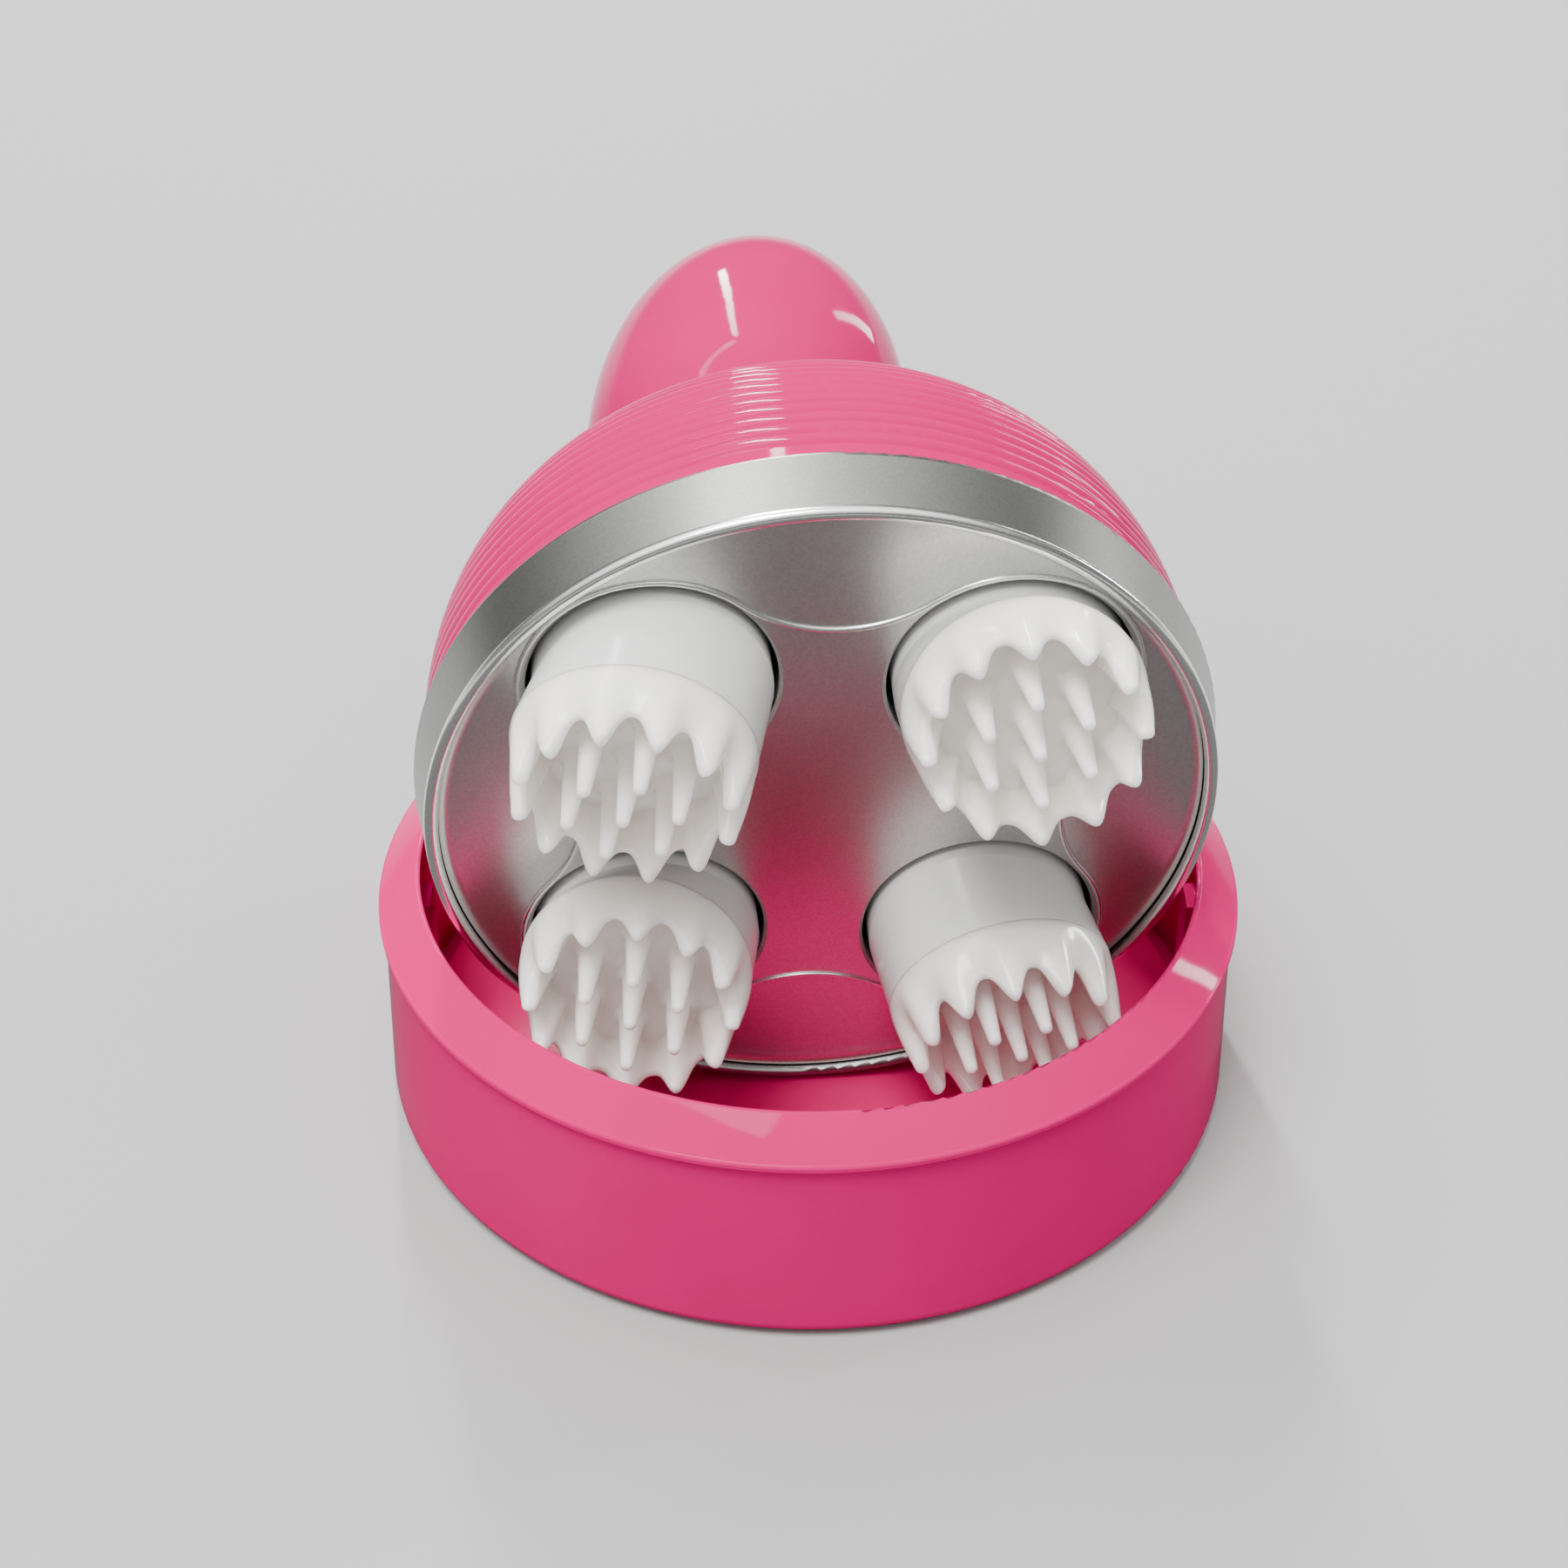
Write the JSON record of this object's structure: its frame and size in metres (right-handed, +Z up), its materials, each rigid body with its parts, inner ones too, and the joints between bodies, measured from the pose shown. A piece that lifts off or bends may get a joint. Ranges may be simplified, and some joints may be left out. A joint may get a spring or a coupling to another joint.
{
  "type": "electric massager",
  "caption": "Hand-held scalp massager with tilted spinning soft-finger heads in a silver face, ribbed dome and knob handle, leaning in a round cup.",
  "frame": {"origin": "centre of the cup's non-slip pad, on the surface it stands on", "axes": "+Z up, -Y the way the massager's face looks, +X to the right seen from the front"},
  "size_m": [0.106, 0.1412, 0.096],
  "materials": {
    "pink_gloss": "high gloss",
    "pink_tray": "gloss",
    "silver_satin": "satin silver",
    "white_plastic": "satin",
    "clear_silicone": "translucent satin",
    "grey_plastic": "moulded",
    "nylon": "moulded",
    "steel": "ground",
    "bronze": "sintered",
    "black_rubber": "matte",
    "motor_steel": "plated",
    "board_green": "solder mask",
    "cell_wrap": "shrink film",
    "button_white": "gloss",
    "pink_rubber": "soft matte"
  },
  "bodies": {
    "cup": {"cup_shell": "pink_gloss", "cup_rim": "pink_gloss", "cup_tray": "pink_tray", "cup_cradle": "pink_tray", "cup_weight": "steel", "cup_pad": "black_rubber", "cup_screws": "steel"},
    "massager": {"trim_band": "silver_satin", "face_plate": "silver_satin", "face_insert": "silver_satin", "well_plate": "grey_plastic", "gear_frame": "grey_plastic", "dome_shell": "pink_gloss", "handle_shell": "pink_gloss", "case_screws": "steel", "handle_screws": "steel", "gearhead": "motor_steel", "motor_can": "motor_steel", "motor_screws": "steel", "board": "board_green", "board_screws": "steel", "switch": "black_rubber", "battery": "cell_wrap", "battery_sleeve": "grey_plastic", "charge_port": "steel", "bush_front_1": "bronze", "bush_rear_1": "bronze", "shaft_seal_1": "black_rubber", "bush_front_2": "bronze", "bush_rear_2": "bronze", "shaft_seal_2": "black_rubber", "bush_front_3": "bronze", "bush_rear_3": "bronze", "shaft_seal_3": "black_rubber", "bush_front_4": "bronze", "bush_rear_4": "bronze", "shaft_seal_4": "black_rubber"},
    "drive": {"drive_shaft": "steel", "sun_gear": "nylon"},
    "power_button": {"button_cap": "button_white"},
    "inlet_plug": {"port_plug": "pink_rubber"},
    "head_1": {"output_shaft_1": "steel", "head_gear_1": "nylon", "head_cup_1": "white_plastic", "soft_head_1": "clear_silicone"},
    "head_2": {"output_shaft_2": "steel", "head_gear_2": "nylon", "head_cup_2": "white_plastic", "soft_head_2": "clear_silicone"},
    "head_3": {"output_shaft_3": "steel", "head_gear_3": "nylon", "head_cup_3": "white_plastic", "soft_head_3": "clear_silicone"},
    "head_4": {"output_shaft_4": "steel", "head_gear_4": "nylon", "head_cup_4": "white_plastic", "soft_head_4": "clear_silicone"}
  },
  "joints": [
    {"name": "lift_off", "type": "slide", "parent": "cup", "child": "massager", "axis": [0, 0, 1], "range_m": [0, 0.06]},
    {"name": "drive_spin", "type": "hinge", "parent": "massager", "child": "drive", "pos_m": [0, -0.0192, 0.0485], "axis": [0, -0.989, -0.1478], "continuous": true},
    {"name": "head_1_spin", "type": "hinge", "parent": "massager", "child": "head_1", "pos_m": [0.02048, -0.02202, 0.06739], "axis": [0, -0.989, -0.1478], "continuous": true},
    {"name": "head_2_spin", "type": "hinge", "parent": "massager", "child": "head_2", "pos_m": [-0.0191, -0.02223, 0.06875], "axis": [0, -0.989, -0.1478], "continuous": true},
    {"name": "head_3_spin", "type": "hinge", "parent": "massager", "child": "head_3", "pos_m": [-0.02048, -0.01638, 0.02961], "axis": [0, -0.989, -0.1478], "continuous": true},
    {"name": "head_4_spin", "type": "hinge", "parent": "massager", "child": "head_4", "pos_m": [0.0191, -0.01617, 0.02825], "axis": [0, -0.989, -0.1478], "continuous": true},
    {"name": "button_press", "type": "slide", "parent": "massager", "child": "power_button", "axis": [-0.1392, -0.9794, -0.1464], "range_m": [0, 0.0008], "stiffness_N_per_m": 400},
    {"name": "plug_pull", "type": "slide", "parent": "massager", "child": "inlet_plug", "axis": [0, 0.1478, -0.989], "range_m": [0, 0.009]}
  ],
  "couplings": [
    {"joint": "head_1_spin", "follows": "drive_spin", "ratio": -1.3333},
    {"joint": "head_2_spin", "follows": "drive_spin", "ratio": -1.3333},
    {"joint": "head_3_spin", "follows": "drive_spin", "ratio": -1.3333},
    {"joint": "head_4_spin", "follows": "drive_spin", "ratio": -1.3333}
  ]
}
